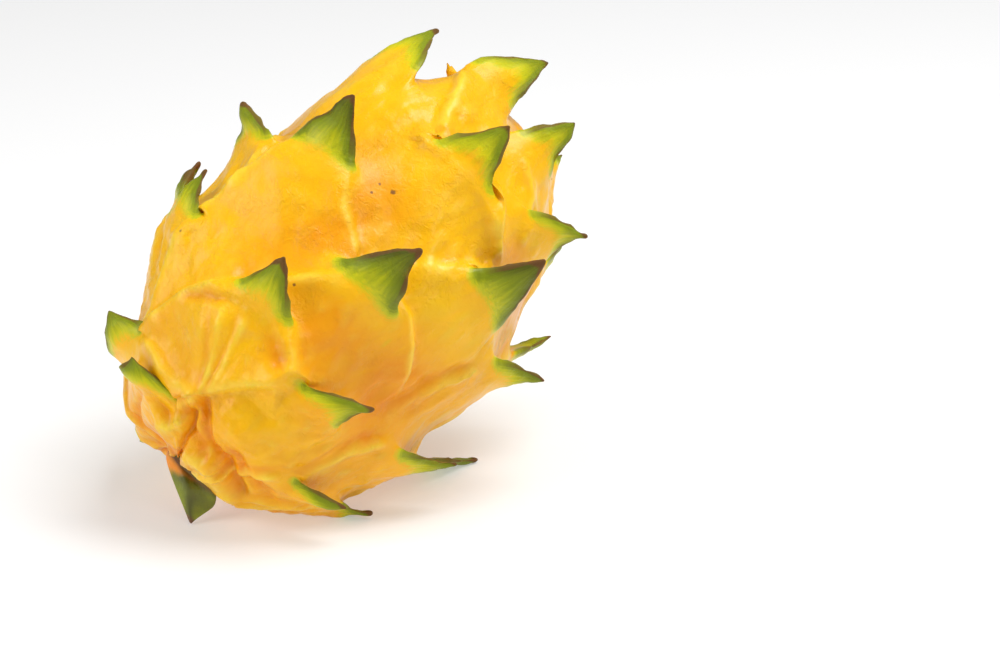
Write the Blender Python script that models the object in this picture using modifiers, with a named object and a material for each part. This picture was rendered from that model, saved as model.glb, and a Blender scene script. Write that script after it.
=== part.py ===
"""Whole yellow dragon fruit, lying as it comes to rest on a table.

The fruit is one fleshy body that carries its own scales. Two dry pieces sit in pockets at its ends:
the cut stem at the low end and the withered flower base at the high end. Metres, +Z up, and the
origin lies on the table under the middle of the fruit.
"""

import math
import random

import bmesh
import bpy
from mathutils import Matrix, Vector

# Driving dimensions of the body.
HALF_LENGTH = 0.056
HALF_WIDTH = 0.038
END_POWER = 2.3
SIDE_POWER = 2.1
TILT = math.radians(32)

# The skin stands proud at each scale and lies lower between them. A broad scale stands on a broad
# mound, and one that reaches less far than FULL_REACH, in millimetres, on a lower one.
MOUND_HEIGHT = 0.0076
HOLLOW_DEPTH = 0.0056
MOUND_TAIL = 0.030
MOUND_FRONT = 0.010
MOUND_SPREAD = 0.0135
END_SPREAD = 0.35
FULL_REACH = 11

# The belly is fuller where the fruit lies on it.
BELLY_ALONG = -0.52
BELLY_REACH = 0.30
BELLY_TURN = math.radians(30)
BELLY_FULLNESS = 0.0028

# Cage of the body, before it is subdivided once.
COLUMNS = 20
ROWS = 22
NUDGE_REACH = 0.026

# Blade of a scale, at each ring from its root to its tip.
RING_PLACES = (0.36, 0.70, 1.0)
RING_WIDTHS = (0.62, 0.34, 0.07)
RING_THICKNESS = (0.0036, 0.0024, 0.0014)
RIM_THICKNESS = 0.7
BLADE_ARCH = 0.0012
ROOT_RISE = math.radians(38)
BEND_SHARE = 0.45

# Scales: place of the root along the body (-1 stem end, 1 flower end) and around it in degrees
# (0 on top, 90 at the front), then how far the tip reaches over the skin towards the flower end
# and stands off it, in millimetres, how many degrees it leans round the body, and how wide it is, 1
# for the usual. The two longest on the underside, at 162 and 202 degrees, just touch the table and
# hold the flower half up.
SCALES = (
    (-0.93, 258, 4.0, 2.5, 0, 1.6),
    (-0.90, 9, 8.0, 3.5, -11, 1.9),
    (-0.80, 332, 7.9, 4.6, -2, 1.9),
    (-0.80, 112, 11.0, 6.0, 3, 1.0),
    (-0.76, 275, 11.0, 5.0, -3, 1.0),
    (-0.72, 142, 11.0, 4.5, -4, 1.0),
    (-0.66, 222, 12.0, 4.5, -4, 1.0),
    (-0.62, 78, 12.0, 6.0, 5, 1.0),
    (-0.50, 30, 12.3, 6.7, 5, 1.0),
    (-0.44, 124, 12.0, 7.0, 4, 1.0),
    (-0.42, 256, 12.0, 7.0, -3, 1.0),
    (-0.35, 340, 12.0, 3.7, 7, 1.0),
    (-0.33, 162, 19.0, 11.88, 0, 1.0),
    (-0.28, 311, 14.6, 3.0, 7, 1.7),
    (-0.22, 61, 14.5, 9.3, -2, 0.95),
    (-0.27, 202, 19.0, 15.517, -3, 1.0),
    (-0.04, 250, 12.5, 8.0, -4, 1.0),
    (0.00, 346, 9.3, 7.5, -6, 1.5),
    (0.00, 124, 12.5, 9.0, 4, 1.0),
    (0.08, 296, 12.5, 8.0, -3, 1.0),
    (0.12, 12, 11.5, 9.8, 6, 1.0),
    (0.13, 88, 13.4, 11.4, -3, 1.15),
    (0.28, 154, 13.0, 8.0, 3, 1.0),
    (0.28, 240, 13.0, 8.5, -3, 1.0),
    (0.34, 196, 13.0, 8.0, 2, 1.0),
    (0.40, 51, 12.3, 10.2, 3, 1.0),
    (0.42, 288, 13.0, 9.0, -2, 1.0),
    (0.52, 98, 7.7, 7.5, 6, 1.1),
    (0.60, 353, 19.3, 5.2, -1, 1.8),
    (0.64, 166, 14.0, 8.0, 3, 1.0),
    (0.66, 222, 14.0, 9.0, 2, 1.0),
    (0.68, 74, 14.0, 8.9, 0, 0.9),
    (0.70, 302, 15.0, 8.0, 3, 1.0),
    (0.82, 28, 19.5, 8.6, 17, 1.3),
    (0.88, 112, 7.0, 3.0, 3, 1.0),
    (0.88, 250, 12.0, 7.0, 3, 1.0),
    (0.90, 182, 11.0, 8.0, 2, 1.0),
    (0.88, 342, 1.5, 2.5, 3, 2.2),
)

# Folded stem end and sunken flower end.
LOBES = 5
LOBE_DEPTH = 0.10
LOBE_START = -0.62
LOBE_TURN = math.radians(20)
STEM_DIMPLE = 0.0045
FLOWER_DIMPLE = 0.0060
DIMPLE_SHARES = (1.0, 0.75)

# Dry pieces and the pockets that hold them.
STEM_HALF_WIDTH = 0.0066
STEM_SQUASH = 0.52
STEM_INNER = -0.0490
STEM_OUTER = -0.0573
STEM_RIM = 0.0012
STEM_CORE_DEPTH = 0.0018
STEM_TURN = math.radians(116)
STEM_AROUND = math.radians(128)
STEM_DROP = 0.0042
BRACT_AROUND = math.radians(192)
BRACT_RISE = math.radians(35)
BRACT_REACH = 0.0104
BRACT_OUTWARD = 0.0034
BRACT_HALF_WIDTH = 0.0080
BRACT_THICKNESS = 0.0022
BRACT_COLUMNS = 5
FLOWER_RADIUS = 0.0052
FLOWER_INNER = 0.0450
FLOWER_SEAT = 0.0035
FLOWER_LENGTH = 0.0130
FLOWER_WRINKLE = 0.14
STICK_SIDES = 20
GAP = 0.0003

# The block below the table line is this many times as wide as half the fruit's length.
TABLE_SPANS = 4

# The middle of the body over the point under the middle of the whole fruit. Its height leaves
# the lowest skin just below the table line, where it is pressed flat.
MIDDLE = Vector((-0.0024, 0.0025, 0.0434))

AXIS = Vector((math.cos(TILT), 0, math.sin(TILT)))
TOP = Vector((-math.sin(TILT), 0, math.cos(TILT)))
FRONT = Vector((0, -1, 0))
TO_FRUIT = Matrix((TOP, FRONT, AXIS)).transposed()


def clear_scene():
    for item in list(bpy.data.objects):
        bpy.data.objects.remove(item, do_unlink=True)


def new_collection(name):
    collection = bpy.data.collections.new(name)
    bpy.context.scene.collection.children.link(collection)
    return collection


def new_material(name, colour, roughness):
    material = bpy.data.materials.new(name)
    material.use_nodes = True
    shader = material.node_tree.nodes["Principled BSDF"]
    shader.inputs["Base Color"].default_value = (*colour, 1)
    shader.inputs["Roughness"].default_value = roughness
    shader.inputs["Metallic"].default_value = 0
    material.diffuse_color = (*colour, 1)
    return material


def new_object(name, bm, collection, material=None):
    mesh = bpy.data.meshes.new(name)
    bm.to_mesh(mesh)
    bm.free()
    item = bpy.data.objects.new(name, mesh)
    collection.objects.link(item)
    if material:
        mesh.materials.append(material)
    return item


def new_cutter(name, bm, collection):
    item = new_object(name, bm, collection)
    item.hide_render = True
    item.display_type = "WIRE"
    return item


def smooth_step(value):
    """0 below 0, 1 above 1, and an even curve between."""
    value = min(max(value, 0.0), 1.0)
    return value * value * (3 - 2 * value)


def turn_between(a, b):
    """The angle from b to a, the short way round."""
    return (a - b + math.pi) % (2 * math.pi) - math.pi


def outline_radius(along):
    """Radius of the fruit's outline at a place along it."""
    inside = max(0.0, 1 - abs(along) ** END_POWER)
    return HALF_WIDTH * inside ** (1 / SIDE_POWER)


def on_fruit(along, around, radius):
    """The point at this share of the half length, this angle and this distance from the axis."""
    spoke = math.cos(around) * TOP + math.sin(around) * FRONT
    return AXIS * (HALF_LENGTH * along) + spoke * radius


def skin_slope(along):
    """The angle between the axis and the outline towards the flower end."""
    step = 0.01
    climb = outline_radius(along + step) - outline_radius(along - step)
    return math.atan2(climb, 2 * step * HALF_LENGTH)


def scale_roots():
    return [(along, math.radians(around)) for along, around, *_ in SCALES]


def offsets_from(root, along, around):
    """Distances over the skin from a scale's root: towards the flower end, and round the body."""
    radius = max(outline_radius(root[0]), outline_radius(along) * 0.5)
    return HALF_LENGTH * (along - root[0]), radius * turn_between(around, root[1])


def mound(along, around):
    """0 to 1: how much of the full mound stands at this place."""
    bare = 1.0
    for root, (_, _, reach, _, _, width) in zip(scale_roots(), SCALES):
        ahead, across = offsets_from(root, along, around)
        fall = 1 - smooth_step(abs(ahead) / (MOUND_FRONT if ahead > 0 else MOUND_TAIL))
        spread = MOUND_SPREAD * (END_SPREAD + (1 - END_SPREAD) * outline_radius(root[0]) / HALF_WIDTH)
        spread *= (1 + width) / 2
        bare *= 1 - fall * min(1.0, reach / FULL_REACH) * math.exp(-((across / spread) ** 2))
    return 1 - bare


def lobes(along, around):
    """The stem end gathers into soft folds."""
    share = smooth_step((LOBE_START - along) / (1 + LOBE_START))
    return 1 + LOBE_DEPTH * share * math.cos(LOBES * around + LOBE_TURN)


def belly(along, around):
    """Share of the belly's fullness at this place."""
    off_along = (along - BELLY_ALONG) / BELLY_REACH
    off_around = turn_between(around, math.pi) / BELLY_TURN
    return math.exp(-(off_along**2) - off_around**2)


def skin_point(along, around):
    size = min(1.0, outline_radius(along) / (HALF_WIDTH * 0.5))
    rise = (MOUND_HEIGHT * mound(along, around) - HOLLOW_DEPTH) * size
    rise += BELLY_FULLNESS * belly(along, around)
    radius = outline_radius(along) * lobes(along, around) + rise
    return on_fruit(along, around, max(radius, 0.0))


def ring_along(ring):
    return -math.cos(math.pi * ring / ROWS)


def nearest_cell(root):
    """The cage's row of faces and its column line that lie nearest to a scale's root."""
    middles = {row: (ring_along(row) + ring_along(row + 1)) / 2 for row in range(2, ROWS - 2)}
    row = min(middles, key=lambda r: abs(middles[r] - root[0]))
    column = round(root[1] / (2 * math.pi / COLUMNS)) % COLUMNS
    return row, column, middles[row]


def nudged(along, around, cells):
    """Draws the cage sideways, so that the middle of a scale's two faces lies on its root."""
    total = 0.0
    shift_along = 0.0
    shift_around = 0.0
    for root, (_, column, middle) in zip(scale_roots(), cells):
        home = 2 * math.pi * column / COLUMNS
        ahead = HALF_LENGTH * (along - middle)
        across = outline_radius(middle) * turn_between(around, home)
        share = 1 - smooth_step(2 * math.hypot(ahead, across) / NUDGE_REACH - 1)
        total += share
        shift_along += share * (root[0] - middle)
        shift_around += share * turn_between(root[1], home)
    spread = max(1.0, total)
    return along + shift_along / spread, around + shift_around / spread


def cage_of_body(bm, cells):
    """A UV sphere drawn out to the fruit's form. Returns its vertices by ring and column."""
    bmesh.ops.create_uvsphere(bm, u_segments=COLUMNS, v_segments=ROWS, radius=1)
    grid = {}
    for vertex in bm.verts:
        ring = round((1 - math.acos(max(-1, min(1, vertex.co.z))) / math.pi) * ROWS)
        around = math.atan2(vertex.co.y, vertex.co.x)
        column = round(around / (2 * math.pi / COLUMNS)) % COLUMNS
        if 0 < ring < ROWS:
            grid[ring, column] = vertex
            vertex.co = skin_point(*nudged(ring_along(ring), 2 * math.pi * column / COLUMNS, cells))
        else:
            vertex.co = AXIS * HALF_LENGTH * (-1 if ring == 0 else 1)
            grid[ring, 0] = vertex
    return grid


def sink_ends(grid):
    """Dimples at both poles: the stem and the withered flower sit in them."""
    for ring, share in enumerate(DIMPLE_SHARES):
        for column in range(COLUMNS if ring else 1):
            grid[ring, column].co += AXIS * STEM_DIMPLE * share
            grid[ROWS - ring, column].co -= AXIS * FLOWER_DIMPLE * share


def scale_tip(scale):
    along, around, reach, rise, lean, _ = scale
    slope = skin_slope(along)
    forward = (reach * math.cos(slope) - rise * math.sin(slope)) * 0.001
    outward = (reach * math.sin(slope) + rise * math.cos(slope)) * 0.001
    turned = math.radians(around + lean)
    return on_fruit(along + forward / HALF_LENGTH, turned, outline_radius(along) + outward)


def draw_blade(bm, corners, start, tip, half_width):
    """Draws the faces between two rows of corners out into a thin blade that starts off one way and
    ends at its tip. The first row becomes the blade's outer face."""
    columns = len(corners) // 2
    middle = columns // 2
    faces = {face for vertex in corners for face in vertex.link_faces if set(face.verts) <= set(corners)}
    root = sum((corner.co for corner in corners), Vector()) / len(corners)
    bend = root + start * (tip - root).length * BEND_SHARE
    across = (corners[columns - 1].co - corners[0].co).normalized()
    for place, width, thickness in zip(RING_PLACES, RING_WIDTHS, RING_THICKNESS):
        centre = (1 - place) ** 2 * root + 2 * place * (1 - place) * bend + place**2 * tip
        forward = ((1 - place) * (bend - root) + place * (tip - bend)).normalized()
        outward = across.cross(forward).normalized()
        copies = bmesh.ops.extrude_face_region(bm, geom=list(faces))["geom"]
        bmesh.ops.delete(bm, geom=list(faces), context="FACES")
        twins = {tuple(v.co): v for v in copies if isinstance(v, bmesh.types.BMVert)}
        faces = {face for face in copies if isinstance(face, bmesh.types.BMFace)}
        corners = [twins[tuple(corner.co)] for corner in corners]
        for index, corner in enumerate(corners):
            step = (index % columns - middle) / middle
            side = 0.5 if index < columns else -0.5
            depth = thickness * side * (1 - (1 - RIM_THICKNESS) * abs(step))
            arch = BLADE_ARCH * (1 - place) * (1 - 2 * abs(step))
            corner.co = centre + across * (step * half_width * width) + outward * (depth + arch)


def raise_scale(bm, grid, cell, scale):
    """Draws two faces of the cage out into a scale that keeps the skin's slope."""
    row, column, _ = cell
    corners = [grid[ring, (column + step) % COLUMNS] for ring in (row, row + 1) for step in (-1, 0, 1)]
    root = sum((corner.co for corner in corners), Vector()) / len(corners)
    spoke = (root - AXIS * root.dot(AXIS)).normalized()
    lift = skin_slope(scale[0]) + ROOT_RISE
    start = AXIS * math.cos(lift) + spoke * math.sin(lift)
    half_width = (corners[2].co - corners[0].co).length / 2
    draw_blade(bm, corners, start, scale_tip(scale), half_width * scale[5])


def make_fruit(collection, cutters, material):
    cells = [nearest_cell(root) for root in scale_roots()]
    bm = bmesh.new()
    grid = cage_of_body(bm, cells)
    sink_ends(grid)
    for cell, scale in zip(cells, SCALES):
        raise_scale(bm, grid, cell, scale)
    fruit = new_object("fruit", bm, collection, material)
    fruit.data.shade_smooth()
    rounding = fruit.modifiers.new("rounding", "SUBSURF")
    rounding.levels = 1
    rounding.render_levels = 1
    for cutter in cutters:
        cut = fruit.modifiers.new(cutter.name, "BOOLEAN")
        cut.operation = "DIFFERENCE"
        cut.object = cutter
    return fruit


def round_stick(rings, squash=1.0, turn=0.0, sides=STICK_SIDES, wrinkle=0.0, seed=1):
    """A closed stick on the fruit's axis: pairs of place and radius, drawn from a cylinder's rings."""
    draw = random.Random(seed)
    bm = bmesh.new()
    bmesh.ops.create_cone(bm, cap_ends=True, segments=sides, radius1=1, radius2=1, depth=1)
    rims = [edge for edge in bm.edges if abs(edge.verts[0].co.z - edge.verts[1].co.z) > 0.5]
    bmesh.ops.subdivide_edges(bm, edges=rims, cuts=len(rings) - 2)
    for vertex in bm.verts:
        index = round((vertex.co.z + 0.5) * (len(rings) - 1))
        place, radius = rings[index]
        vertex.co.z = place
        radius *= 1 + wrinkle * draw.uniform(-1, 1) * (index > 1)
        vertex.co.x *= radius
        vertex.co.y *= radius * squash
    bmesh.ops.rotate(bm, matrix=Matrix.Rotation(turn, 3, "Z"), verts=bm.verts)
    bmesh.ops.transform(bm, matrix=TO_FRUIT.to_4x4(), verts=bm.verts)
    return bm


def stem_stick(rings):
    """A stick with the stem's oval section, set a little beside the fruit's axis."""
    bm = round_stick(rings, STEM_SQUASH, STEM_TURN)
    bmesh.ops.translate(bm, vec=on_fruit(0, STEM_AROUND, STEM_DROP), verts=bm.verts)
    return bm


def make_stem_pocket(collection):
    """The hole round the cut stem."""
    inner = STEM_INNER
    outer = STEM_OUTER - HALF_WIDTH
    rings = ((outer, STEM_HALF_WIDTH + GAP), (inner + GAP, STEM_HALF_WIDTH + GAP))
    return new_cutter("stem_pocket", stem_stick(rings), collection)


def make_flower_pocket(collection):
    """The hole round the withered flower base."""
    rings = ((FLOWER_INNER - GAP, FLOWER_RADIUS + GAP), (FLOWER_INNER + HALF_WIDTH, FLOWER_RADIUS + GAP))
    return new_cutter("flower_pocket", round_stick(rings), collection)


def raise_bract(bm):
    """Draws the side of the stem out into its last leaf, which hangs in front of the skin."""
    outer = STEM_OUTER + STEM_RIM
    rows = (outer, outer + BRACT_THICKNESS)
    corners = []
    for place in rows:
        ring = [vertex for vertex in bm.verts if abs(vertex.co.dot(AXIS) - place) < GAP]
        low = on_fruit(0, BRACT_AROUND, 1.0)
        side = on_fruit(0, BRACT_AROUND + math.pi / 2, 1.0)
        ring.sort(key=lambda vertex: -vertex.co.dot(low))
        corners += sorted(ring[:BRACT_COLUMNS], key=lambda vertex: vertex.co.dot(side))
    start = on_fruit(0, BRACT_AROUND, math.cos(BRACT_RISE)) - AXIS * math.sin(BRACT_RISE)
    tip = on_fruit((STEM_OUTER - BRACT_OUTWARD) / HALF_LENGTH, BRACT_AROUND, BRACT_REACH)
    tip += on_fruit(0, STEM_AROUND, STEM_DROP)
    draw_blade(bm, corners, start, tip, BRACT_HALF_WIDTH)


def make_stem(collection, material):
    """The cut stem: a short oval stub with a rim round its sunken woody core, and its last leaf."""
    rim = STEM_HALF_WIDTH - STEM_RIM
    rings = (
        (STEM_OUTER + STEM_CORE_DEPTH, rim),
        (STEM_OUTER, rim),
        (STEM_OUTER, STEM_HALF_WIDTH - STEM_RIM * 0.4),
        (STEM_OUTER + STEM_RIM, STEM_HALF_WIDTH),
        (STEM_OUTER + STEM_RIM + BRACT_THICKNESS, STEM_HALF_WIDTH),
        (STEM_INNER, STEM_HALF_WIDTH),
    )
    bm = stem_stick(rings)
    raise_bract(bm)
    return new_object("cut_stem", bm, collection, material)


def make_dried_flower(collection, material):
    """The withered flower base: a shrivelled tuft that narrows to a torn end."""
    rings = (
        (FLOWER_INNER, FLOWER_RADIUS),
        (FLOWER_INNER + FLOWER_SEAT, FLOWER_RADIUS),
        (FLOWER_INNER + FLOWER_SEAT * 1.5, FLOWER_RADIUS * 0.8),
        (FLOWER_INNER + FLOWER_LENGTH * 0.8, FLOWER_RADIUS * 0.95),
        (FLOWER_INNER + FLOWER_LENGTH, FLOWER_RADIUS * 0.6),
    )
    bm = round_stick(rings, wrinkle=FLOWER_WRINKLE)
    return new_object("dried_flower", bm, collection, material)


def make_table_cutter(collection):
    """Everything below the table line, which the fruit's own weight presses flat."""
    bm = bmesh.new()
    side = HALF_LENGTH * TABLE_SPANS
    bmesh.ops.create_cube(bm, size=side)
    bmesh.ops.translate(bm, vec=(0, 0, -MIDDLE.z - side / 2), verts=bm.verts)
    return new_cutter("table", bm, collection)


def main():
    clear_scene()
    parts = new_collection("dragon_fruit")
    helpers = new_collection("cutters")
    skin = new_material("yellow_skin", (0.90, 0.52, 0.02), 0.35)
    wood = new_material("green_stem", (0.16, 0.17, 0.05), 0.6)
    husk = new_material("dry_husk", (0.23, 0.14, 0.07), 0.85)
    cutters = [make_stem_pocket(helpers), make_flower_pocket(helpers), make_table_cutter(helpers)]
    make_fruit(parts, cutters, skin)
    make_stem(parts, wood)
    make_dried_flower(parts, husk)
    for item in (*parts.objects, *helpers.objects):
        item.location = MIDDLE


main()
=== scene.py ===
"""Looks of the whole yellow dragon fruit: waxy folded skin, green scales, cut stem and withered flower.

The file is laid out as an add-on and run as a script. Every piece takes the place of one solid of the
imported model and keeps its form. Metres, +Z up, the same frame as the model.
"""

import math
import random

import bmesh
import bpy
import numpy as np
from bpy.props import FloatProperty, FloatVectorProperty, PointerProperty
from mathutils import Matrix, Vector


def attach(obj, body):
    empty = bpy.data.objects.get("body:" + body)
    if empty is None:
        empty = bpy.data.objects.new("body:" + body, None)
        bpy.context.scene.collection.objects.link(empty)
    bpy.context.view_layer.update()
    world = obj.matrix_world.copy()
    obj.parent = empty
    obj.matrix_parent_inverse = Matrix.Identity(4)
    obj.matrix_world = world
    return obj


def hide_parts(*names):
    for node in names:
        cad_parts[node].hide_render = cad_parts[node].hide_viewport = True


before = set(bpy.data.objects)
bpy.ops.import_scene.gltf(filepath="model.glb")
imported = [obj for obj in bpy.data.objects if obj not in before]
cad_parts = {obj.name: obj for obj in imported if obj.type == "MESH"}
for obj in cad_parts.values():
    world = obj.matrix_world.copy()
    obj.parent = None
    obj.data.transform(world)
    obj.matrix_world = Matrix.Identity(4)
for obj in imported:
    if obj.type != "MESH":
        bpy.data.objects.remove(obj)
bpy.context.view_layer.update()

bl_info = {
    "name": "Yellow Dragon Fruit",
    "version": (1, 0, 0),
    "blender": (4, 5, 0),
    "location": "View3D > Sidebar > Fruit",
    "description": "A whole yellow dragon fruit with its scales, cut stem and withered flower",
    "category": "Add Mesh",
}

BODY = "root"

# Scales: place of the root along the body (-1 stem end, 1 flower end) and around it in degrees (0 on
# top, 90 at the front), then how far the tip reaches over the skin towards the flower end and stands
# off it, in millimetres, how many degrees it leans round the body, and how wide it is, 1 for the usual.
SCALES = (
    (-0.93, 258, 4.0, 2.5, 0, 1.6),
    (-0.90, 9, 8.0, 3.5, -11, 1.9),
    (-0.80, 332, 7.9, 4.6, -2, 1.9),
    (-0.80, 112, 11.0, 6.0, 3, 1.0),
    (-0.76, 275, 11.0, 5.0, -3, 1.0),
    (-0.72, 142, 11.0, 4.5, -4, 1.0),
    (-0.66, 222, 12.0, 4.5, -4, 1.0),
    (-0.62, 78, 12.0, 6.0, 5, 1.0),
    (-0.50, 30, 12.3, 6.7, 5, 1.0),
    (-0.44, 124, 12.0, 7.0, 4, 1.0),
    (-0.42, 256, 12.0, 7.0, -3, 1.0),
    (-0.35, 340, 12.0, 3.7, 7, 1.0),
    (-0.33, 162, 19.0, 11.88, 0, 1.0),
    (-0.28, 311, 14.6, 3.0, 7, 1.7),
    (-0.22, 61, 14.5, 9.3, -2, 0.95),
    (-0.27, 202, 19.0, 15.517, -3, 1.0),
    (-0.04, 250, 12.5, 8.0, -4, 1.0),
    (0.00, 346, 9.3, 7.5, -6, 1.5),
    (0.00, 124, 12.5, 9.0, 4, 1.0),
    (0.08, 296, 12.5, 8.0, -3, 1.0),
    (0.12, 12, 11.5, 9.8, 6, 1.0),
    (0.13, 88, 13.4, 11.4, -3, 1.15),
    (0.28, 154, 13.0, 8.0, 3, 1.0),
    (0.28, 240, 13.0, 8.5, -3, 1.0),
    (0.34, 196, 13.0, 8.0, 2, 1.0),
    (0.40, 51, 12.3, 10.2, 3, 1.0),
    (0.42, 288, 13.0, 9.0, -2, 1.0),
    (0.52, 98, 7.7, 7.5, 6, 1.1),
    (0.60, 353, 19.3, 5.2, -1, 1.8),
    (0.64, 166, 14.0, 8.0, 3, 1.0),
    (0.66, 222, 14.0, 9.0, 2, 1.0),
    (0.68, 74, 14.0, 8.9, 0, 0.9),
    (0.70, 302, 15.0, 8.0, 3, 1.0),
    (0.82, 28, 19.5, 8.6, 17, 1.3),
    (0.88, 112, 7.0, 3.0, 3, 1.0),
    (0.88, 250, 12.0, 7.0, 3, 1.0),
    (0.90, 182, 11.0, 8.0, 2, 1.0),
    (0.88, 342, 1.5, 2.5, 3, 2.2),
)

# For some scales: how many degrees the blade turns about itself, how dark its green is (below 0 it
# stays yellow), how dry its tip is, and how green the skin below it is. PLAIN is for all the others.
CHARACTER = {
    (-0.90, 9): (52, 0.6, 0.1, 0.9),
    (-0.80, 332): (55, 0.5, 0.1, 0.4),
    (-0.50, 30): (0, 0.55, 1.0, 0.2),
    (-0.35, 340): (0, 0.55, 0.6, 0.2),
    (-0.28, 311): (0, 0.7, 0.6, 0.2),
    (-0.22, 61): (0, 1.0, 0.5, 0.2),
    (0.00, 346): (0, 0.45, 0.4, 0.2),
    (0.12, 12): (0, 0.9, 0.4, 0.2),
    (0.13, 88): (0, 1.0, 0.8, 0.2),
    (0.40, 51): (0, 0.35, 0.2, 0.2),
    (0.52, 98): (0, 0.3, 0.2, 0.2),
    (0.60, 353): (0, 0.4, 0.4, 0.0),
    (0.68, 74): (0, 0.35, 0.1, 0.2),
    (0.82, 28): (40, 0.35, 0.3, 0.0),
    (0.88, 342): (0, -1.8, 0.0, 0.0),
}
PLAIN = (0, 0.5, 0.3, 0.2)

# Scales whose blades are drawn broader than the table has them, and by how much.
BROADER = {(-0.90, 9): 1.7, (-0.80, 332): 1.1, (0.88, 342): 1.8}

# Folds in the skin of the side in view: height, negative for a crease, how wide the steep side is and
# how wide the gentle one, in millimetres, then the places that the fold runs through, along and
# around as for the scales. The gentle side is the right-hand one on the way along.
FOLDS = (
    (2.2, 1.2, 6.0, (-0.26, 351), (-0.09, 358), (0.10, 5)),
    (1.3, 1.0, 5.0, (0.14, 26), (0.02, 33), (-0.06, 45)),
    (1.2, 1.2, 2.5, (0.16, 345), (0.02, 356), (-0.14, 357)),
    (2.6, 1.2, 5.0, (-0.68, 352), (-0.56, 6), (-0.50, 17)),
    (2.0, 1.1, 4.0, (-0.46, 46), (-0.53, 57), (-0.62, 62)),
    (-1.1, 0.9, 1.6, (-0.56, 10), (-0.51, 30), (-0.50, 42), (-0.56, 54)),
    (2.1, 1.2, 4.5, (-0.34, 36), (-0.23, 46), (-0.17, 51)),
    (1.8, 0.9, 4.0, (-0.12, 74), (-0.17, 82), (-0.25, 92)),
    (1.7, 1.1, 4.0, (0.34, 82), (0.42, 67), (0.45, 56), (0.43, 38)),
    (1.3, 0.9, 3.0, (0.49, 68), (0.42, 74), (0.34, 81)),
    (2.4, 1.2, 4.0, (0.54, 36), (0.73, 28), (0.82, 22)),
    (1.4, 1.3, 4.5, (0.08, 67), (0.15, 75), (0.23, 80)),
    (0.8, 0.9, 1.2, (0.70, 72), (0.62, 82), (0.46, 88)),
    (0.6, 0.8, 1.0, (0.68, 80), (0.58, 90), (0.48, 97)),
    (1.2, 1.2, 4.0, (-0.72, 343), (-0.55, 346), (-0.40, 347)),
    (2.8, 1.3, 5.0, (-0.60, 62), (-0.72, 46), (-0.80, 35)),
    (1.3, 1.4, 2.5, (-0.78, 356), (-0.82, 8), (-0.83, 20), (-0.80, 34)),
    (1.2, 1.2, 2.0, (-0.87, 12), (-0.87, 26), (-0.81, 35)),
    (2.0, 1.6, 1.8, (-0.95, 14), (-0.93, 25), (-0.90, 32)),
    (-1.5, 0.9, 1.2, (-0.97, 47), (-0.94, 43), (-0.87, 37)),
    (2.0, 1.6, 3.0, (-0.94, 124), (-0.95, 106), (-0.95, 80), (-0.96, 55)),
    (-2.6, 1.1, 1.8, (-0.81, 39), (-0.86, 48), (-0.90, 60), (-0.91, 88), (-0.92, 117)),
    (-1.2, 0.9, 2.0, (-0.87, 74), (-0.88, 90), (-0.86, 110)),
    (-1.2, 0.9, 1.6, (-0.85, 31), (-0.90, 42), (-0.93, 66)),
    (-1.5, 1.0, 1.8, (-0.92, 22), (-0.92, 5), (-0.92, 340), (-0.94, 300)),
    (-0.5, 0.7, 0.7, (-0.58, 22), (-0.69, 28), (-0.79, 35)),
    (0.5, 0.7, 0.7, (-0.55, 26), (-0.66, 31), (-0.78, 36)),
    (-0.5, 0.7, 0.7, (-0.53, 31), (-0.64, 34), (-0.78, 38)),
    (0.4, 0.7, 0.7, (-0.55, 35), (-0.66, 37), (-0.77, 40)),
)
FOLD_STEPS = 4

# Small brown scars on the side in view: place, and size in millimetres.
SCARS = (
    (0.19, 37, 0.4),
    (0.19, 41, 0.55),
    (0.14, 36, 0.35),
    (-0.39, 349, 0.45),
    (-0.33, 40, 0.4),
)

# Places of the side in view where shade is painted on the skin as a deeper orange, and how far that reaches
# in millimetres.
PAINTED_SHADES = (
    (-0.38, 57, 10.0),
    (0.14, 38, 8.0),
    (-0.28, 92, 9.0),
    (0.38, 90, 6.0),
    (-0.10, 38, 6.0),
)

# Soft swellings of the side in view: height and reach in millimetres, and place.
SWELLINGS = (
    (2.6, 7.0, -0.63, 25),
    (2.6, 6.5, -0.82, 62),
    (1.4, 6.0, -0.82, 92),
    (1.2, 5.0, -0.92, 300),
    (1.2, 8.0, -0.04, 18),
    (0.8, 7.0, 0.52, 52),
    (0.9, 7.0, -0.02, 82),
)

# The middle of the body in the frame, and how squarely its outline is filled.
MIDDLE = Vector((-0.0024, 0.0025, 0.0434))
END_POWER = 2.3
SIDE_POWER = 2.1

# Cage of the body, before it is subdivided.
COLUMNS = 20
ROWS = 22
NUDGE_REACH = 0.026
ROUNDING = 2
FINE_CUTS = 2
FINE_LEAF = 0.25

# Mounds under the scales. A broad scale stands on a broad mound, and one that reaches less far than
# FULL_REACH, in millimetres, on a lower one.
MOUND_TAIL = 0.030
MOUND_FRONT = 0.010
MOUND_SPREAD = 0.0135
END_SPREAD = 0.35
FULL_REACH = 11

# The belly is fuller where the fruit lies on it.
BELLY_ALONG = -0.52
BELLY_REACH = 0.30
BELLY_TURN = math.radians(30)
BELLY_FULLNESS = 0.0028

# Ridges that run down from the corners of each scale, the painted shade behind it and the green skin below.
RIDGE_CORNER = 0.75
RIDGE_SPREAD = 0.0050
RIDGE_TURN = 0.008
RIDGE_LENGTH = 0.026
RIDGE_WIDTH = 0.0014
RIDGE_WOBBLE = 0.0010
HOLLOW_REACH = 0.013
SKIRT_LENGTH = 0.016
SKIRT_WIDTH = 0.010

# The side in view, whose folds are listed: its middle, and the cosine of its reach round it.
VIEW_AROUND = math.radians(35)
VIEW_SHARE = 0.35

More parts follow.
